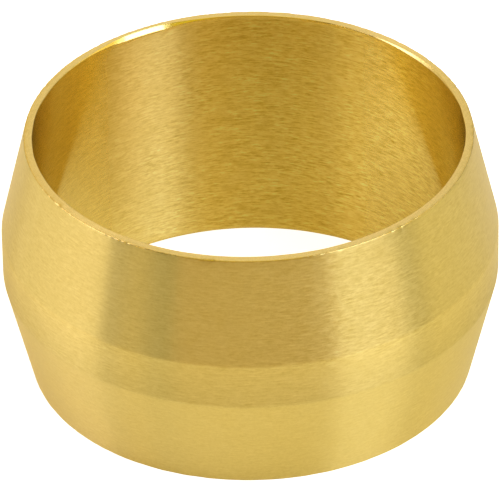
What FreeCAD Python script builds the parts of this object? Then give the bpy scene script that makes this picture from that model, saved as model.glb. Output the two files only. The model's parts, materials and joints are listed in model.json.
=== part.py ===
"""Brass compression olive: the ring that a compression nut squeezes onto a copper pipe.

It is turned from bar as one piece. The bore is plain, and slides over the pipe. Outside, a narrow
band runs round the middle, and from it a straight taper falls to a thin wall at each end, one for
the cone in the nut and one for the seat in the fitting. Every edge is broken as it comes off the
lathe, and the two mouths of the bore are chamfered, so that the pipe goes in without catching.

The ring stands on its lower end. Its axis is Z, and the origin is in the middle of that end's plane.
All sizes are in millimetres.
"""

import FreeCAD, Part
import os

# The pipe and the bore that slides over it
PIPE_DIAMETER = 15.0
BORE_CLEARANCE = 0.10

# The ring's own sizes: walls are measured from the bore
LENGTH = 9.25
BAND_WIDTH = 1.65
BAND_WALL = 1.20
END_WALL = 0.30

# Broken edges
MOUTH_CHAMFER = 0.05
END_EDGE_RADIUS = 0.02
BAND_EDGE_RADIUS = 0.40

# Fits that follow from the sizes above
BORE_RADIUS = (PIPE_DIAMETER + BORE_CLEARANCE) / 2
END_RADIUS = BORE_RADIUS + END_WALL
BAND_RADIUS = BORE_RADIUS + BAND_WALL
BAND_BOTTOM = (LENGTH - BAND_WIDTH) / 2
BAND_TOP = (LENGTH + BAND_WIDTH) / 2

AXIS_POINT = FreeCAD.Vector(0, 0, 0)
AXIS = FreeCAD.Vector(0, 0, 1)
FULL_TURN = 360


def section_corners():
    """The half section's corners, as (distance from the axis, height, edge radius), once round it.

    A mouth is two corners with the chamfer between them, and both are as sharp as the ends' outer edges.
    """
    return [
        (BORE_RADIUS, MOUTH_CHAMFER, END_EDGE_RADIUS),
        (BORE_RADIUS + MOUTH_CHAMFER, 0, END_EDGE_RADIUS),
        (END_RADIUS, 0, END_EDGE_RADIUS),
        (BAND_RADIUS, BAND_BOTTOM, BAND_EDGE_RADIUS),
        (BAND_RADIUS, BAND_TOP, BAND_EDGE_RADIUS),
        (END_RADIUS, LENGTH, END_EDGE_RADIUS),
        (BORE_RADIUS + MOUTH_CHAMFER, LENGTH, END_EDGE_RADIUS),
        (BORE_RADIUS, LENGTH - MOUTH_CHAMFER, END_EDGE_RADIUS),
    ]


def rounded_corner(before, corner, after, radius):
    """The start, middle and end of the arc that rounds a corner and is tangent to both its sides."""
    to_before = (before - corner).normalize()
    to_after = (after - corner).normalize()
    inward = (to_before + to_after).normalize()
    half_cosine = inward.dot(to_after)
    half_sine = (1 - half_cosine**2) ** 0.5
    tangent_length = radius * half_cosine / half_sine
    centre = corner + inward * (radius / half_sine)
    return (
        corner + to_before * tangent_length,
        centre - inward * radius,
        corner + to_after * tangent_length,
    )


def section_face():
    """The half section as a face in the XZ plane: straight sides joined by the corners' arcs."""
    corners = section_corners()
    points = [FreeCAD.Vector(distance, 0, height) for distance, height, _ in corners]
    count = len(points)
    arcs = [
        rounded_corner(points[i - 1], points[i], points[(i + 1) % count], corners[i][2])
        for i in range(count)
    ]
    edges = []
    for i, (start, middle, end) in enumerate(arcs):
        next_start = arcs[(i + 1) % count][0]
        edges.append(Part.Arc(start, middle, end).toShape())
        edges.append(Part.LineSegment(end, next_start).toShape())
    return Part.Face(Part.Wire(edges))


def olive_ring():
    """The whole ring: its half section, turned once round the axis."""
    return section_face().revolve(AXIS_POINT, AXIS, FULL_TURN)


def main():
    os.makedirs("parts", exist_ok=True)
    olive_ring().exportStep("parts/olive_ring.step")


main()
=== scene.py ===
"""The looks of a turned brass compression olive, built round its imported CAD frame.

Laid out as an add-on: property groups hold the sizes, colours and studio that can be changed, one operator
turns the ring, one sets the stage, and a panel in the 3D view's sidebar lists them. Lengths are in metres.
Azimuths are counted from the camera's side, -Y, towards +X.
"""

import json
import math

import bpy
import numpy as np
from mathutils import Matrix, Vector


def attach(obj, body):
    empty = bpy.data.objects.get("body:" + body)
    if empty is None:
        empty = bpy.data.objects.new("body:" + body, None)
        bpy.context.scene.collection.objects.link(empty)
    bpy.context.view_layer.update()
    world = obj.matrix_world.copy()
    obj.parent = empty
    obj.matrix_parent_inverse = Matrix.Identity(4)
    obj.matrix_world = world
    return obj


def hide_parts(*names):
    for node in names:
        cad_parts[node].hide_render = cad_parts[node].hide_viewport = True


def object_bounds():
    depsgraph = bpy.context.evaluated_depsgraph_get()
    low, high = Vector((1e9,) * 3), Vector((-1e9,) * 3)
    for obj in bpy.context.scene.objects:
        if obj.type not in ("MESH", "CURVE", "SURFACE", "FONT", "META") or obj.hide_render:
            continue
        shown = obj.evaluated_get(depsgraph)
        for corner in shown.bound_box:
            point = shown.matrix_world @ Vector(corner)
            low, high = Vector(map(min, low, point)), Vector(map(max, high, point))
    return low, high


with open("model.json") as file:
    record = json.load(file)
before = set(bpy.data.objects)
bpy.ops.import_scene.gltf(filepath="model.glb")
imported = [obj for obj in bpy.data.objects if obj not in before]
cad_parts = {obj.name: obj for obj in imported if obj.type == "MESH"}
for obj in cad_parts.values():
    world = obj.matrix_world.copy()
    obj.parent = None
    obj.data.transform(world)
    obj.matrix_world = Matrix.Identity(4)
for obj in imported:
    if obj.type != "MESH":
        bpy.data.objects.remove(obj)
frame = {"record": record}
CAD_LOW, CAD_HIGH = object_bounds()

bl_info = {
    "name": "Turned brass olive",
    "version": (1, 0, 0),
    "blender": (4, 5, 0),
    "location": "View3D > Sidebar > Olive",
    "description": "Turns a brass compression olive and sets the studio that it is seen in",
    "category": "Add Mesh",
}

MM = 0.001
MICRON = 1e-6
PIPE_BORE = next(mount for mount in frame["record"]["mounts"] if mount["name"] == "pipe_bore")

# How finely the ring is cut: steps round it, along each broken corner and along the side that follows it
AROUND = 1024
CORNER_STEPS = (4, 4, 4, 5, 5, 4, 4, 4)
SIDE_STEPS = (3, 3, 11, 7, 11, 3, 3, 20)

# Corners of the section by their numbers, counted from the lower mouth outwards and once round it
LOWER_MOUTH, LOWER_END, UPPER_END, UPPER_MOUTH = 0, 2, 5, 7
BAND_CORNERS = slice(3, 5)

# Deep chamfer in the upper mouth: azimuths in degrees with shares of the most chamfer, and width in radians
DEEP_CHAMFER = ((209, 1.3), (126, 0.55))
DEEP_CHAMFER_WIDTH = 0.2

# Nicks in the upper outer edge: azimuths in degrees with depths in millimetres, and width in radians
NICKS = ((-57, 0.03), (-10.8, 0.02), (-9.5, 0.02), (38, 0.02), (41, 0.025), (46, 0.02))
NICK_WIDTH = 0.012

# Where the finish changes round the ring: the middle of each stretch and half its width, in degrees
TORN_STRETCH = (25, 22)
COARSE_STRETCH = (158, 48)
DULL_STRETCH = (184, 41)

# How far a mark changes red, green and blue: a dark one is more saturated than the metal round it
MARK_TINT = (1.0, 1.3, 2.6)

# The floor's half side, and how strongly it glows by itself to the camera and in the brass
FLOOR_REACH = 1.5
FLOOR_GLOW_SEEN = 0.9
FLOOR_GLOW_IN_BRASS = 0.15

# How far the camera stands off the line to the ring's middle, to the right and up in its own picture
CAMERA_RIGHT = -0.014 * MM
CAMERA_UP = -0.2809 * MM

# The black tent stands behind the cards, at so many times their distance
TENT_DISTANCE = 1.1
# Tent and cards clear the floor by a hair, and are stepped by about so many degrees
CARD_LIFT = 0.2 * MM
CARD_STEP = 3

# The studio's cards: azimuths from and to, elevations from and to, in degrees, then colour and strength
CARDS = {
    "softbox_right_high": ((42, 83.5), (33, 60), "#D6DEFF", 6.47),
    "softbox_right_low": ((38, 71.5), (14, 33), "#FFDECF", 1.28),
    "panel_right_high": ((83.5, 125), (36, 60), "#FFE68C", 1.62),
    "panel_right_back": ((84, 125), (12, 36), "#FFEFBE", 0.90),
    "wall_back_right": ((125, 171), (8, 60), "#FFEED7", 0.52),
    "wall_back": ((171, 189), (8, 60), "#FFF1F3", 0.96),
    "wall_back_left": ((189, 235), (8, 60), "#FFE09C", 0.7),
    "panel_left_high": ((235, 278), (35, 60), "#E8DEFF", 4.5),
    "panel_left_low": ((235, 292), (0, 35), "#FFF0E8", 0.82),
    "strip_left": ((-67, -53), (34, 48), "#FFDA8A", 3.9),
    "card_front_low": ((-34, 38), (0, 14), "#FF8618", 0.25),
    "card_front": ((-36, 42), (33, 46), "#FFCE2B", 0.78),
    "card_front_high": ((-56, 42), (46, 68), "#FFED41", 0.85),
    "ceiling": ((0, 360), (68, 90), "#FFE057", 0.79),
}


def linear(hex_colour):
    """A colour written as sRGB hex, as the linear values that Blender's sockets take."""
    srgb = np.array([int(hex_colour[i : i + 2], 16) for i in (1, 3, 5)]) / 255
    return tuple(np.where(srgb <= 0.04045, srgb / 12.92, ((srgb + 0.055) / 1.055) ** 2.4))


class OliveSizes(bpy.types.PropertyGroup):
    """The ring's section, as it is turned."""

    bore_radius: bpy.props.FloatProperty(
        name="Bore radius", description="Radius of the plain bore", unit="LENGTH",
        default=PIPE_BORE["dims"]["r_mm"] * MM, precision=5,
    )
    band_radius: bpy.props.FloatProperty(
        name="Band radius", description="Radius of the band round the middle", unit="LENGTH",
        default=min(-CAD_LOW.x, CAD_HIGH.x), precision=5,
    )
    length: bpy.props.FloatProperty(
        name="Length", description="Height of the ring, end to end", unit="LENGTH",
        default=CAD_HIGH.z - CAD_LOW.z, precision=5,
    )
    band_width: bpy.props.FloatProperty(
        name="Band width", description="Height of the band between the two tapers", unit="LENGTH",
        default=1.65 * MM, precision=5,
    )
    end_wall: bpy.props.FloatProperty(
        name="End wall", description="Wall that the tapers run out to", unit="LENGTH",
        default=0.30 * MM, precision=5,
    )
    mouth_chamfer: bpy.props.FloatProperty(
        name="Mouth chamfer", description="Chamfer of the bore's lower mouth", unit="LENGTH",
        default=0.05 * MM, precision=5,
    )
    most_chamfer: bpy.props.FloatProperty(
        name="Most chamfer", description="Chamfer of the upper mouth where it is deepest", unit="LENGTH",
        default=0.13 * MM, precision=5,
    )
    least_chamfer: bpy.props.FloatProperty(
        name="Least chamfer", description="Chamfer of the upper mouth where it is slightest", unit="LENGTH",
        default=0.015 * MM, precision=5,
    )
    end_edge_radius: bpy.props.FloatProperty(
        name="End edge radius", description="Rounding of the ends' edges", unit="LENGTH",
        default=0.02 * MM, precision=5,
    )
    band_edge_radius: bpy.props.FloatProperty(
        name="Band edge radius", description="Rounding where a taper meets the band", unit="LENGTH",
        default=0.40 * MM, precision=5,
    )
    burr: bpy.props.FloatProperty(
        name="Burr", description="Unevenness that the tool left on the ends' edges", unit="LENGTH",
        default=0.004 * MM, precision=5,
    )


class OliveFinish(bpy.types.PropertyGroup):
    """The brass and the marks that the lathe left in it."""

    brass: bpy.props.FloatVectorProperty(
        name="Brass", description="Colour of a clean cut", subtype="COLOR", size=3, min=0, max=1,
        default=linear("#F2DC80"),
    )
    roughness: bpy.props.FloatProperty(
        name="Roughness", description="How far the cut spreads a reflection", subtype="FACTOR",
        default=0.30, min=0, max=1,
    )
    bore_roughness: bpy.props.FloatProperty(
        name="Bore roughness", description="The same, in the bore where it is dull", subtype="FACTOR",
        default=0.38, min=0, max=1,
    )
    clean_roughness: bpy.props.FloatProperty(
        name="Clean bore roughness", description="The same, in the rest of the bore", subtype="FACTOR",
        default=0.17, min=0, max=1,
    )
    band_roughness: bpy.props.FloatProperty(
        name="Band roughness", description="The same, on the band", subtype="FACTOR",
        default=0.33, min=0, max=1,
    )
    edge_roughness: bpy.props.FloatProperty(
        name="Edge roughness", description="The same, on the chamfers and ends", subtype="FACTOR",
        default=0.21, min=0, max=1,
    )


class OliveStudio(bpy.types.PropertyGroup):
    """The camera, the floor and the light."""

    lens: bpy.props.FloatProperty(
        name="Lens", description="Focal length on a sensor 36 mm wide", default=476.92,
    )
    distance: bpy.props.FloatProperty(
        name="Distance", description="From the ring's middle to the camera", unit="LENGTH", default=0.23352,
    )
    elevation: bpy.props.FloatProperty(
        name="Elevation", description="Camera's height above the horizon", subtype="ANGLE",
        default=math.radians(34.72),
    )
    roll: bpy.props.FloatProperty(
        name="Roll", description="Turn of the picture to the left", subtype="ANGLE",
        default=math.radians(0.90),
    )
    floor: bpy.props.FloatVectorProperty(
        name="Floor", description="Colour that the floor glows in", subtype="COLOR", size=3, min=0, max=1,
        default=linear("#FFFFFF"),
    )
    paper: bpy.props.FloatVectorProperty(
        name="Paper", description="Colour of the floor's paper", subtype="COLOR", size=3, min=0, max=1,
        default=linear("#EDEDE3"),
    )
    card_distance: bpy.props.FloatProperty(
        name="Card distance", description="From the ring to the studio's cards", unit="LENGTH", default=0.6,
    )


def broken_section(corners, radii, corner_steps, side_steps):
    """A closed section with rounded corners, as (distance, height) once round it, and where its corners are.

    A corner whose sides make the angle 2h is cut back by radius / tan h along both of them, and an arc about
    the point radius / sin h along its bisector joins the cuts. Arcs are stepped evenly. Sides are stepped by
    half a cosine, so that their points crowd towards the arcs and keep the sides flat under smooth shading.
    Also gives the number of each corner's middle point, and the bisectors, which point into the metal.
    """
    ahead = np.roll(corners, -1, 0) - corners
    ahead /= np.linalg.norm(ahead, axis=1, keepdims=True)
    behind = -np.roll(ahead, 1, 0)
    bisector = ahead + behind
    bisector /= np.linalg.norm(bisector, axis=1, keepdims=True)
    cosine = np.sum(bisector * ahead, 1)
    sine = np.sqrt(1 - cosine**2)
    centres = corners + bisector * (radii / sine)[:, None]
    cut = (radii * cosine / sine)[:, None]
    starts, ends = corners + behind * cut, corners + ahead * cut
    runs, middles, count = [], [], 0
    for i in range(len(corners)):
        spoke_a, spoke_b = starts[i] - centres[i], ends[i] - centres[i]
        angle_a = math.atan2(spoke_a[1], spoke_a[0])
        turn = math.atan2(spoke_a[0] * spoke_b[1] - spoke_a[1] * spoke_b[0], spoke_a @ spoke_b)
        angles = angle_a + turn * np.arange(corner_steps[i]) / corner_steps[i]
        runs.append(centres[i] + radii[i] * np.stack([np.cos(angles), np.sin(angles)], 1))
        share = (1 - np.cos(math.pi * np.arange(side_steps[i]) / side_steps[i])) / 2
        runs.append(ends[i] + share[:, None] * (np.roll(starts, -1, 0)[i] - ends[i]))
        middles.append(count + corner_steps[i] // 2)
        count += corner_steps[i] + side_steps[i]
    return np.concatenate(runs), middles, bisector


def ripple(angle, waves, seed):
    """An unevenness round the ring that closes on itself, with a mean square of 1.

    It is the sum of one cosine for each whole number of waves in the range, with sizes and starts drawn from
    a seeded generator. The sizes fall as the waves get shorter.
    """
    random = np.random.default_rng(seed)
    number = np.arange(*waves)[:, None]
    size = random.normal(size=number.shape) / np.sqrt(number)
    start = random.uniform(0, 2 * math.pi, number.shape)
    wave = np.sum(size * np.cos(number * angle[None] + start), 0)
    return wave / np.sqrt(np.mean(wave**2))


def dents(angle, places, width):
    """Marks at azimuths in degrees: a sum of bells, each with its own depth and with a width in radians."""
    away = angle[:, None] - np.radians([place for place, _ in places])[None]
    away = (away + math.pi) % (2 * math.pi) - math.pi
    return np.exp(-((away / width) ** 2)) @ np.array([depth for _, depth in places])


def plateau(angle, middle, half_width):
    """A flat-topped bell round an azimuth in degrees.

    It is exp of minus the fourth power of the way from its middle, over its half width.
    """
    away = (np.degrees(angle) - middle + 180) % 360 - 180
    return np.exp(-((away / half_width) ** 4))


def ring_surface(section, moves, angle):
    """The section carried once round Z, as a grid of points with the shape (around, along, 3).

    A point at the distance r and the height z stands at (r sin a, -r cos a, z) for each azimuth a, after the
    moves, with the shape (around, along, 2), are added to r and z.
    """
    moved = section[None] + moves
    sine, cosine = np.sin(angle)[:, None], np.cos(angle)[:, None]
    return np.stack([moved[..., 0] * sine, -moved[..., 0] * cosine, moved[..., 1]], -1)


def closed_mesh(name, points, values):
    """A mesh of smooth quads on a grid that closes both ways, with named values for its points.

    Quad (j, i) joins the points (j, i), (j+1, i), (j+1, i+1) and (j, i+1), each counted round its own way.
    The UV map runs along the section in U and round the ring in V. A value is given for each point of the
    section, or for each point of the whole grid.
    """
    around, count = points.shape[:2]
    j, i = np.meshgrid(np.arange(around), np.arange(count), indexing="ij")
    corner_j = j[..., None] + np.array([0, 1, 1, 0])
    corner_i = i[..., None] + np.array([0, 0, 1, 1])
    loops = ((corner_j % around) * count + corner_i % count).reshape(-1)
    mesh = bpy.data.meshes.new(name)
    mesh.vertices.add(around * count)
    mesh.vertices.foreach_set("co", points.astype(np.float32).reshape(-1))
    mesh.loops.add(len(loops))
    mesh.loops.foreach_set("vertex_index", loops.astype(np.int32))
    mesh.polygons.add(around * count)
    mesh.polygons.foreach_set("loop_start", np.arange(0, len(loops), 4, dtype=np.int32))
    mesh.update(calc_edges=True)
    mesh.shade_smooth()
    uv = np.stack([corner_i / count, corner_j / around], -1)
    mesh.uv_layers.new(name="section_wrap").data.foreach_set("uv", uv.astype(np.float32).reshape(-1))
    for key, value in values.items():
        spread = np.broadcast_to(value, (around, count))
        attribute = mesh.attributes.new(key, "FLOAT", "POINT")
        attribute.data.foreach_set("value", spread.astype(np.float32).reshape(-1))
    if mesh.validate():
        raise RuntimeError(f"the mesh {name} had to be repaired")
    return mesh


def add_node(tree, kind, settings=None, inputs=None):
    """Adds a node of a kind to a tree, with its settings and with values or links for its inputs."""
    node = tree.nodes.new(kind)
    for key, value in (settings or {}).items():
        setattr(node, key, value)
    for key, value in (inputs or {}).items():
        if isinstance(value, bpy.types.NodeSocket):
            tree.links.new(value, node.inputs[key])
        else:
            node.inputs[key].default_value = value
    return node


def add_sum(tree, base, *terms):
    """Adds up a number and some (socket, factor) pairs, and gives the socket of the sum."""
    total = base
    for socket, factor in terms:
        inputs = {0: socket, 1: factor, 2: total}
        total = add_node(tree, "ShaderNodeMath", {"operation": "MULTIPLY_ADD"}, inputs).outputs[0]
    return total


def add_product(tree, first, second):
    """Multiplies two sockets, and gives the socket of the product."""
    return add_node(tree, "ShaderNodeMath", {"operation": "MULTIPLY"}, {0: first, 1: second}).outputs[0]


def empty_tree(owner):
    """The node tree of a material or a world, cleared."""
    owner.use_nodes = True
    owner.node_tree.nodes.clear()
    return owner.node_tree


def turned_brass(finish):
    """Free-cutting brass as it comes off the lathe: a bright yellow metal with fine cut lines round it.

    The lines spread a reflection along the axis and keep it sharp round the ring, so lights show as upright
    stripes.
    """
    material = bpy.data.materials.new("turned_brass")
    tree = empty_tree(material)
    place = add_node(tree, "ShaderNodeTexCoord")
    along = add_node(tree, "ShaderNodeAttribute", {"attribute_name": "along_mm"})
    zone = {
        name: add_node(tree, "ShaderNodeAttribute", {"attribute_name": name}).outputs["Fac"]
        for name in ("edge", "bore", "coarse", "dull", "band", "band_painted_shade", "upper")
    }
    in_mm = add_node(tree, "ShaderNodeVectorMath", {"operation": "SCALE"}, {
        0: place.outputs["Object"], "Scale": 1 / MM,
    })
    parts = add_node(tree, "ShaderNodeSeparateXYZ", {}, {0: in_mm.outputs[0]})
    wrapped = add_node(tree, "ShaderNodeCombineXYZ", {}, {
        "X": parts.outputs["X"], "Y": parts.outputs["Y"], "Z": along.outputs["Fac"],
    })

    def noise(per_mm, detail, roughness):
        """Noise with so many waves a millimetre in X, in Y and along the section."""
        scaled = add_node(tree, "ShaderNodeVectorMath", {"operation": "MULTIPLY"}, {
            0: wrapped.outputs[0], 1: per_mm,
        })
        return add_node(tree, "ShaderNodeTexNoise", {}, {
            "Vector": scaled.outputs[0], "Scale": 1.0, "Detail": detail, "Roughness": roughness,
        }).outputs["Fac"]

    # Cut lines: dashes 0.06 mm apart and 0.4 mm long, drawn coarser than the real feed so that they show
    dashes = noise((2.6, 2.6, 16.0), 3.0, 0.7)
    # Short flecks, where the chip tore instead of cutting
    flecks = noise((3.5, 3.5, 14.0), 2.0, 0.6)
    # Longer rings, where the tool's edge changed
    rings = noise((0.12, 0.12, 5.0), 2.0, 0.5)
    # The wall is a few microns out of true, so the edge of a reflection wavers
    waves = noise((0.25, 0.25, 0.7), 1.0, 0.5)
    # Handling dulls it in patches
    patches = noise((0.8, 0.8, 0.8), 3.0, 0.6)
    # Grain of the cut metal
    grain = noise((9.0, 9.0, 12.0), 2.0, 0.8)

    # The bore is cut coarser than the outside, and the upper taper is torn most
    in_bore, on_band, on_upper = zone["bore"], zone["band"], zone["upper"]
    cut_depth = add_sum(tree, 0.2, (zone["coarse"], 1.05), (on_band, 0.2), (on_upper, 0.4))
    cut = add_product(tree, add_sum(tree, -0.5, (dashes, 1.0)), cut_depth)
    cut = add_product(tree, cut, add_sum(tree, 0.1, (patches, 1.8)))
    torn_depth = add_sum(tree, 0.2, (on_upper, 0.8), (on_band, -0.15), (in_bore, -0.15))
    torn = add_product(tree, add_sum(tree, -0.5, (flecks, 1.0)), torn_depth)
    # The brass is a little brighter in the bore. On the band it carries painted light and shade: lighter over
    # the band, and darker towards the band's lower edge, standing in for how the band's reflection changes
    # down it
    level = add_sum(tree, 0.97, (patches, 0.05), (in_bore, 0.05), (on_band, 0.06), (zone["band_painted_shade"], -0.12))
    plain = add_node(tree, "ShaderNodeVectorMath", {"operation": "SCALE"}, {0: finish.brass, "Scale": level})
    marks = add_sum(tree, -0.09, (cut, 0.95), (torn, 0.25), (grain, 0.18))
    colour = add_node(tree, "ShaderNodeVectorMath", {"operation": "MULTIPLY_ADD"}, {
        0: marks, 1: np.array(finish.brass) * MARK_TINT, 2: plain.outputs[0],
    })
    depths = (cut, MICRON), (torn, 9 * MICRON), (rings, MICRON), (waves, 4 * MICRON)
    height = add_sum(tree, 0.0, *depths)
    bump = add_node(tree, "ShaderNodeBump", {}, {"Strength": 1.0, "Distance": 1.0, "Height": height})
    lay = add_node(tree, "ShaderNodeTangent", {"direction_type": "UV_MAP", "uv_map": "section_wrap"})
    patch_rough = 0.04
    rough = add_sum(
        tree, finish.roughness - patch_rough / 2, (patches, patch_rough),
        (zone["edge"], finish.edge_roughness - finish.roughness),
        (in_bore, finish.clean_roughness - finish.roughness),
        (zone["dull"], finish.bore_roughness - finish.clean_roughness),
        (on_band, finish.band_roughness - finish.roughness),
    )
    shader = add_node(tree, "ShaderNodeBsdfPrincipled", {}, {
        "Base Color": colour.outputs[0],
        "Metallic": 1.0,
        "Roughness": rough,
        "Anisotropic": 1.0,
        "Tangent": lay.outputs["Tangent"],
        "Normal": bump.outputs["Normal"],
    })
    add_node(tree, "ShaderNodeOutputMaterial", {}, {"Surface": shader.outputs["BSDF"]})
    return material


class OLIVE_OT_turn_ring(bpy.types.Operator):
    """Turn the brass ring in place of its CAD solid"""

    bl_idname = "olive.turn_ring"
    bl_label = "Turn the ring"

    def execute(self, context):
        sizes, finish = context.scene.olive_sizes, context.scene.olive_finish
        section, middles, inward = self.section(sizes, sizes.mouth_chamfer)
        steps = np.linalg.norm(np.roll(section, -1, 0) - section, axis=1)
        along = np.concatenate([[0], np.cumsum(steps)[:-1]])
        angle = 2 * math.pi * np.arange(AROUND) / AROUND
        moves = self.edge_wear(sizes, along, middles, inward, angle)
        # The upper mouth was chamfered by hand: deep in two places, and hardly at all in the others
        deep = np.clip(dents(angle, DEEP_CHAMFER, DEEP_CHAMFER_WIDTH), 0, 1)
        for share, chamfer in ((deep, sizes.most_chamfer), (1 - deep, sizes.least_chamfer)):
            moves += share[:, None, None] * (self.section(sizes, chamfer)[0] - section)[None]
        surface = ring_surface(section, moves, angle)
        mesh = closed_mesh("olive_turned", surface, self.zones(sizes, section, along, angle))
        mesh.materials.append(turned_brass(finish))
        ring = bpy.data.objects.new("olive_turned", mesh)
        context.scene.collection.objects.link(ring)
        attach(ring, "root")
        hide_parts("olive_ring")
        return {"FINISHED"}

    def section(self, sizes, upper_chamfer):
        """The half section of the ring, from the lower mouth outwards and once round it."""
        bore, length, lower_chamfer = sizes.bore_radius, sizes.length, sizes.mouth_chamfer
        end_radius = bore + sizes.end_wall
        corners = np.array([
            (bore, lower_chamfer),
            (bore + lower_chamfer, 0),
            (end_radius, 0),
            (sizes.band_radius, (length - sizes.band_width) / 2),
            (sizes.band_radius, (length + sizes.band_width) / 2),
            (end_radius, length),
            (bore + upper_chamfer, length),
            (bore, length - upper_chamfer),
        ])
        radii = np.full(len(corners), sizes.end_edge_radius)
        radii[BAND_CORNERS] = sizes.band_edge_radius
        return broken_section(corners, radii, CORNER_STEPS, SIDE_STEPS)

    def zones(self, sizes, section, along, angle):
        """What the material has to know about each point of the section, and of the ring where it changes.

        along_mm is the length along the section. edge is 1 on the end faces and the chamfers, bore is 1 in
        the bore, and band is 1 on the band, where it also lightens the brass as painted light. Each falls to
        0 over a short way. band_painted_shade grows from 0 to 1 down the band, and darkens the brass there as
        painted shade. upper is how torn the upper taper is, coarse is how deep the bore is cut, and dull is
        how rough it is. These three change round the ring too, and are most in their own stretches of it.
        """
        edge_reach, edge_fall, band_fall = 0.18 * MM, 0.12 * MM, 0.02 * MM
        upper_start, upper_rise = 0.6 * MM, 0.2 * MM
        least_torn, least_coarse = 0.3, 0.4
        distance, height = section[:, 0], section[:, 1]
        from_end = np.minimum(height, sizes.length - height)
        above_middle = height - sizes.length / 2
        edge = np.clip((edge_reach - from_end) / edge_fall, 0, 1)
        edge = edge * (distance < sizes.bore_radius + sizes.end_wall)
        inside = np.clip(1 - (distance - sizes.bore_radius) / sizes.end_edge_radius, 0, 1)
        bore = inside * (1 - edge)
        band = np.clip(1 - (sizes.band_radius - distance) / band_fall, 0, 1)
        upper = np.clip((above_middle - upper_start) / upper_rise, 0, 1) * (1 - inside) * (1 - edge)
        torn = least_torn + (1 - least_torn) * plateau(angle, *TORN_STRETCH)
        coarse = least_coarse + (1 - least_coarse) * plateau(angle, *COARSE_STRETCH)
        return {
            "along_mm": along / MM,
            "edge": edge,
            "bore": bore,
            "coarse": bore * coarse[:, None],
            "dull": bore * plateau(angle, *DULL_STRETCH)[:, None],
            "band": band,
            # painted shade: darkens the brass towards the band's lower edge
            "band_painted_shade": band * np.clip(0.5 - above_middle / sizes.band_width, 0, 1),
            "upper": upper * torn[:, None],
        }

    def edge_wear(self, sizes, along, middles, inward, angle):
        """How far each point is moved by the burrs and nicks on the ends' edges, as (distance, height).

        An edge moves most at its middle, and less by a bell to both sides. The outer edges only move into the
        metal, along their bisector. The mouths move level, to and from the axis.
        """
        moves = np.zeros((len(angle), len(along), 2))
        nicks = dents(angle, NICKS, NICK_WIDTH) * MM
        level = np.array([1.0, 0.0])
        slow, quick = (8, 60), (20, 160)
        # Each edge's corner, the way it moves, the width of its bell in millimetres, and how far it moves
        edges = (
            (LOWER_MOUTH, level, 0.10, ripple(angle, slow, 13) * sizes.burr),
            (LOWER_END, inward[LOWER_END], 0.07, np.abs(ripple(angle, slow, 11)) * sizes.burr),
            (UPPER_END, inward[UPPER_END], 0.05, np.abs(ripple(angle, quick, 12)) * sizes.burr * 1.5 + nicks),
            (UPPER_MOUTH, level, 0.10, ripple(angle, slow, 14) * sizes.burr),
        )
        girth = along[-1]
        for corner, way, width, amount in edges:
            away = (along - along[middles[corner]] + girth / 2) % girth - girth / 2
            near = np.exp(-((away / (width * MM)) ** 2))
            moves += amount[:, None, None] * near[None, :, None] * way
        return moves


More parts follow.
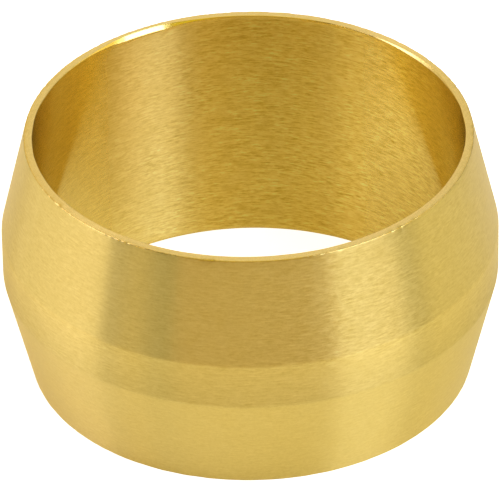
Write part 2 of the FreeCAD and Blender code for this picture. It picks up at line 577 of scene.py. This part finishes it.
class OLIVE_OT_set_stage(bpy.types.Operator):
    """Set the floor, the light and the camera"""

    bl_idname = "olive.set_stage"
    bl_label = "Set the stage"

    def execute(self, context):
        scene, studio = context.scene, context.scene.olive_studio
        scene.view_settings.view_transform = "Standard"
        self.lay_floor(scene, studio)
        self.light_world(scene)
        reach = studio.card_distance
        self.stand_card(scene, "tent", (0, 360), (0, 90), reach * TENT_DISTANCE, "#000000", 0.0)
        for name, (azimuths, elevations, colour, strength) in CARDS.items():
            self.stand_card(scene, name, azimuths, elevations, reach, colour, strength)
        self.place_camera(scene, studio)
        return {"FINISHED"}

    def lay_floor(self, scene, studio):
        """A smooth pale floor, which also glows by itself to the camera and, less, in the brass."""
        corners = [(x * FLOOR_REACH, y * FLOOR_REACH, 0) for x, y in ((-1, -1), (1, -1), (1, 1), (-1, 1))]
        mesh = bpy.data.meshes.new("floor")
        mesh.from_pydata(corners, [], [(0, 1, 2, 3)])
        material = bpy.data.materials.new("floor_paper")
        tree = empty_tree(material)
        path = add_node(tree, "ShaderNodeLightPath").outputs
        sheet = add_node(tree, "ShaderNodeBsdfPrincipled", {}, {
            "Base Color": (*studio.paper, 1), "Roughness": 0.2, "IOR": 1.55,
        })
        level = add_sum(
            tree, 0.0, (path["Is Camera Ray"], FLOOR_GLOW_SEEN), (path["Is Glossy Ray"], FLOOR_GLOW_IN_BRASS),
            (path["Is Transmission Ray"], FLOOR_GLOW_SEEN),
        )
        glow = add_node(tree, "ShaderNodeEmission", {}, {"Color": (*studio.floor, 1), "Strength": level})
        both = add_node(tree, "ShaderNodeAddShader", {}, {0: sheet.outputs[0], 1: glow.outputs[0]})
        add_node(tree, "ShaderNodeOutputMaterial", {}, {"Surface": both.outputs[0]})
        mesh.materials.append(material)
        floor = bpy.data.objects.new("floor", mesh)
        scene.collection.objects.link(floor)

    def light_world(self, scene):
        """An even white background, which the tent keeps off the ring."""
        world = bpy.data.worlds.new("studio")
        scene.world = world
        tree = empty_tree(world)
        white = add_node(tree, "ShaderNodeBackground", {}, {"Color": (1, 1, 1, 1), "Strength": 1.0})
        add_node(tree, "ShaderNodeOutputWorld", {}, {"Surface": white.outputs[0]})

    def stand_card(self, scene, name, azimuths, elevations, distance, colour, strength):
        """A curved card round the ring: the part of a dome between two azimuths and two elevations.

        A point at the azimuth a and the elevation e stands at (cos e sin a, -cos e cos a, sin e), times the
        distance. The camera doesn't see it, so that it can stand between the camera and the ring.
        """
        across = np.radians(np.linspace(*azimuths, 2 + int(np.ptp(azimuths) / CARD_STEP)))
        upward = np.radians(np.linspace(*elevations, 2 + int(np.ptp(elevations) / CARD_STEP)))
        a, e = np.meshgrid(across, upward, indexing="ij")
        points = distance * np.stack([np.cos(e) * np.sin(a), -np.cos(e) * np.cos(a), np.sin(e)], -1)
        points[..., 2] += CARD_LIFT
        rows = len(upward)
        i, j = np.meshgrid(np.arange(len(across) - 1), np.arange(rows - 1), indexing="ij")
        first = (i * rows + j).reshape(-1, 1)
        mesh = bpy.data.meshes.new(name)
        mesh.from_pydata(points.reshape(-1, 3), [], (first + np.array([0, 1, rows + 1, rows])).tolist())
        material = bpy.data.materials.new(name)
        tree = empty_tree(material)
        glow = add_node(tree, "ShaderNodeEmission", {}, {"Color": (*linear(colour), 1), "Strength": strength})
        add_node(tree, "ShaderNodeOutputMaterial", {}, {"Surface": glow.outputs[0]})
        mesh.materials.append(material)
        card = bpy.data.objects.new(name, mesh)
        card.visible_camera = False
        scene.collection.objects.link(card)

    def place_camera(self, scene, studio):
        """Camera in front of the ring's middle, at its distance and elevation, rolled and moved by a hair."""
        data = bpy.data.cameras.new("camera")
        data.sensor_width = 36
        data.lens = studio.lens
        data.clip_start, data.clip_end = 0.01, 10
        rise, roll = studio.elevation, studio.roll
        back = Vector((0, -math.cos(rise), math.sin(rise)))
        up = Vector((0, math.sin(rise), math.cos(rise)))
        right = Vector((1, 0, 0))
        turned_right = math.cos(roll) * right - math.sin(roll) * up
        turned_up = math.sin(roll) * right + math.cos(roll) * up
        middle = (CAD_LOW + CAD_HIGH) / 2
        place = middle + back * studio.distance + turned_right * CAMERA_RIGHT + turned_up * CAMERA_UP
        camera = bpy.data.objects.new("camera", data)
        axes = Matrix((turned_right, turned_up, back)).transposed()
        camera.matrix_world = Matrix.Translation(place) @ axes.to_4x4()
        scene.collection.objects.link(camera)
        scene.camera = camera


class VIEW3D_PT_olive(bpy.types.Panel):
    """Lists what the add-on makes"""

    bl_label = "Turned brass olive"
    bl_space_type = "VIEW_3D"
    bl_region_type = "UI"
    bl_category = "Olive"

    def draw(self, context):
        for group in (context.scene.olive_sizes, context.scene.olive_finish, context.scene.olive_studio):
            box = self.layout.box()
            for name in group.__annotations__:
                box.prop(group, name)
        self.layout.operator(OLIVE_OT_turn_ring.bl_idname)
        self.layout.operator(OLIVE_OT_set_stage.bl_idname)


CLASSES = (OliveSizes, OliveFinish, OliveStudio, OLIVE_OT_turn_ring, OLIVE_OT_set_stage, VIEW3D_PT_olive)


def register():
    for cls in CLASSES:
        bpy.utils.register_class(cls)
    bpy.types.Scene.olive_sizes = bpy.props.PointerProperty(type=OliveSizes)
    bpy.types.Scene.olive_finish = bpy.props.PointerProperty(type=OliveFinish)
    bpy.types.Scene.olive_studio = bpy.props.PointerProperty(type=OliveStudio)


def unregister():
    del bpy.types.Scene.olive_studio
    del bpy.types.Scene.olive_finish
    del bpy.types.Scene.olive_sizes
    for cls in reversed(CLASSES):
        bpy.utils.unregister_class(cls)


def main():
    register()
    bpy.ops.olive.turn_ring()
    bpy.ops.olive.set_stage()


if __name__ == "__main__":
    main()
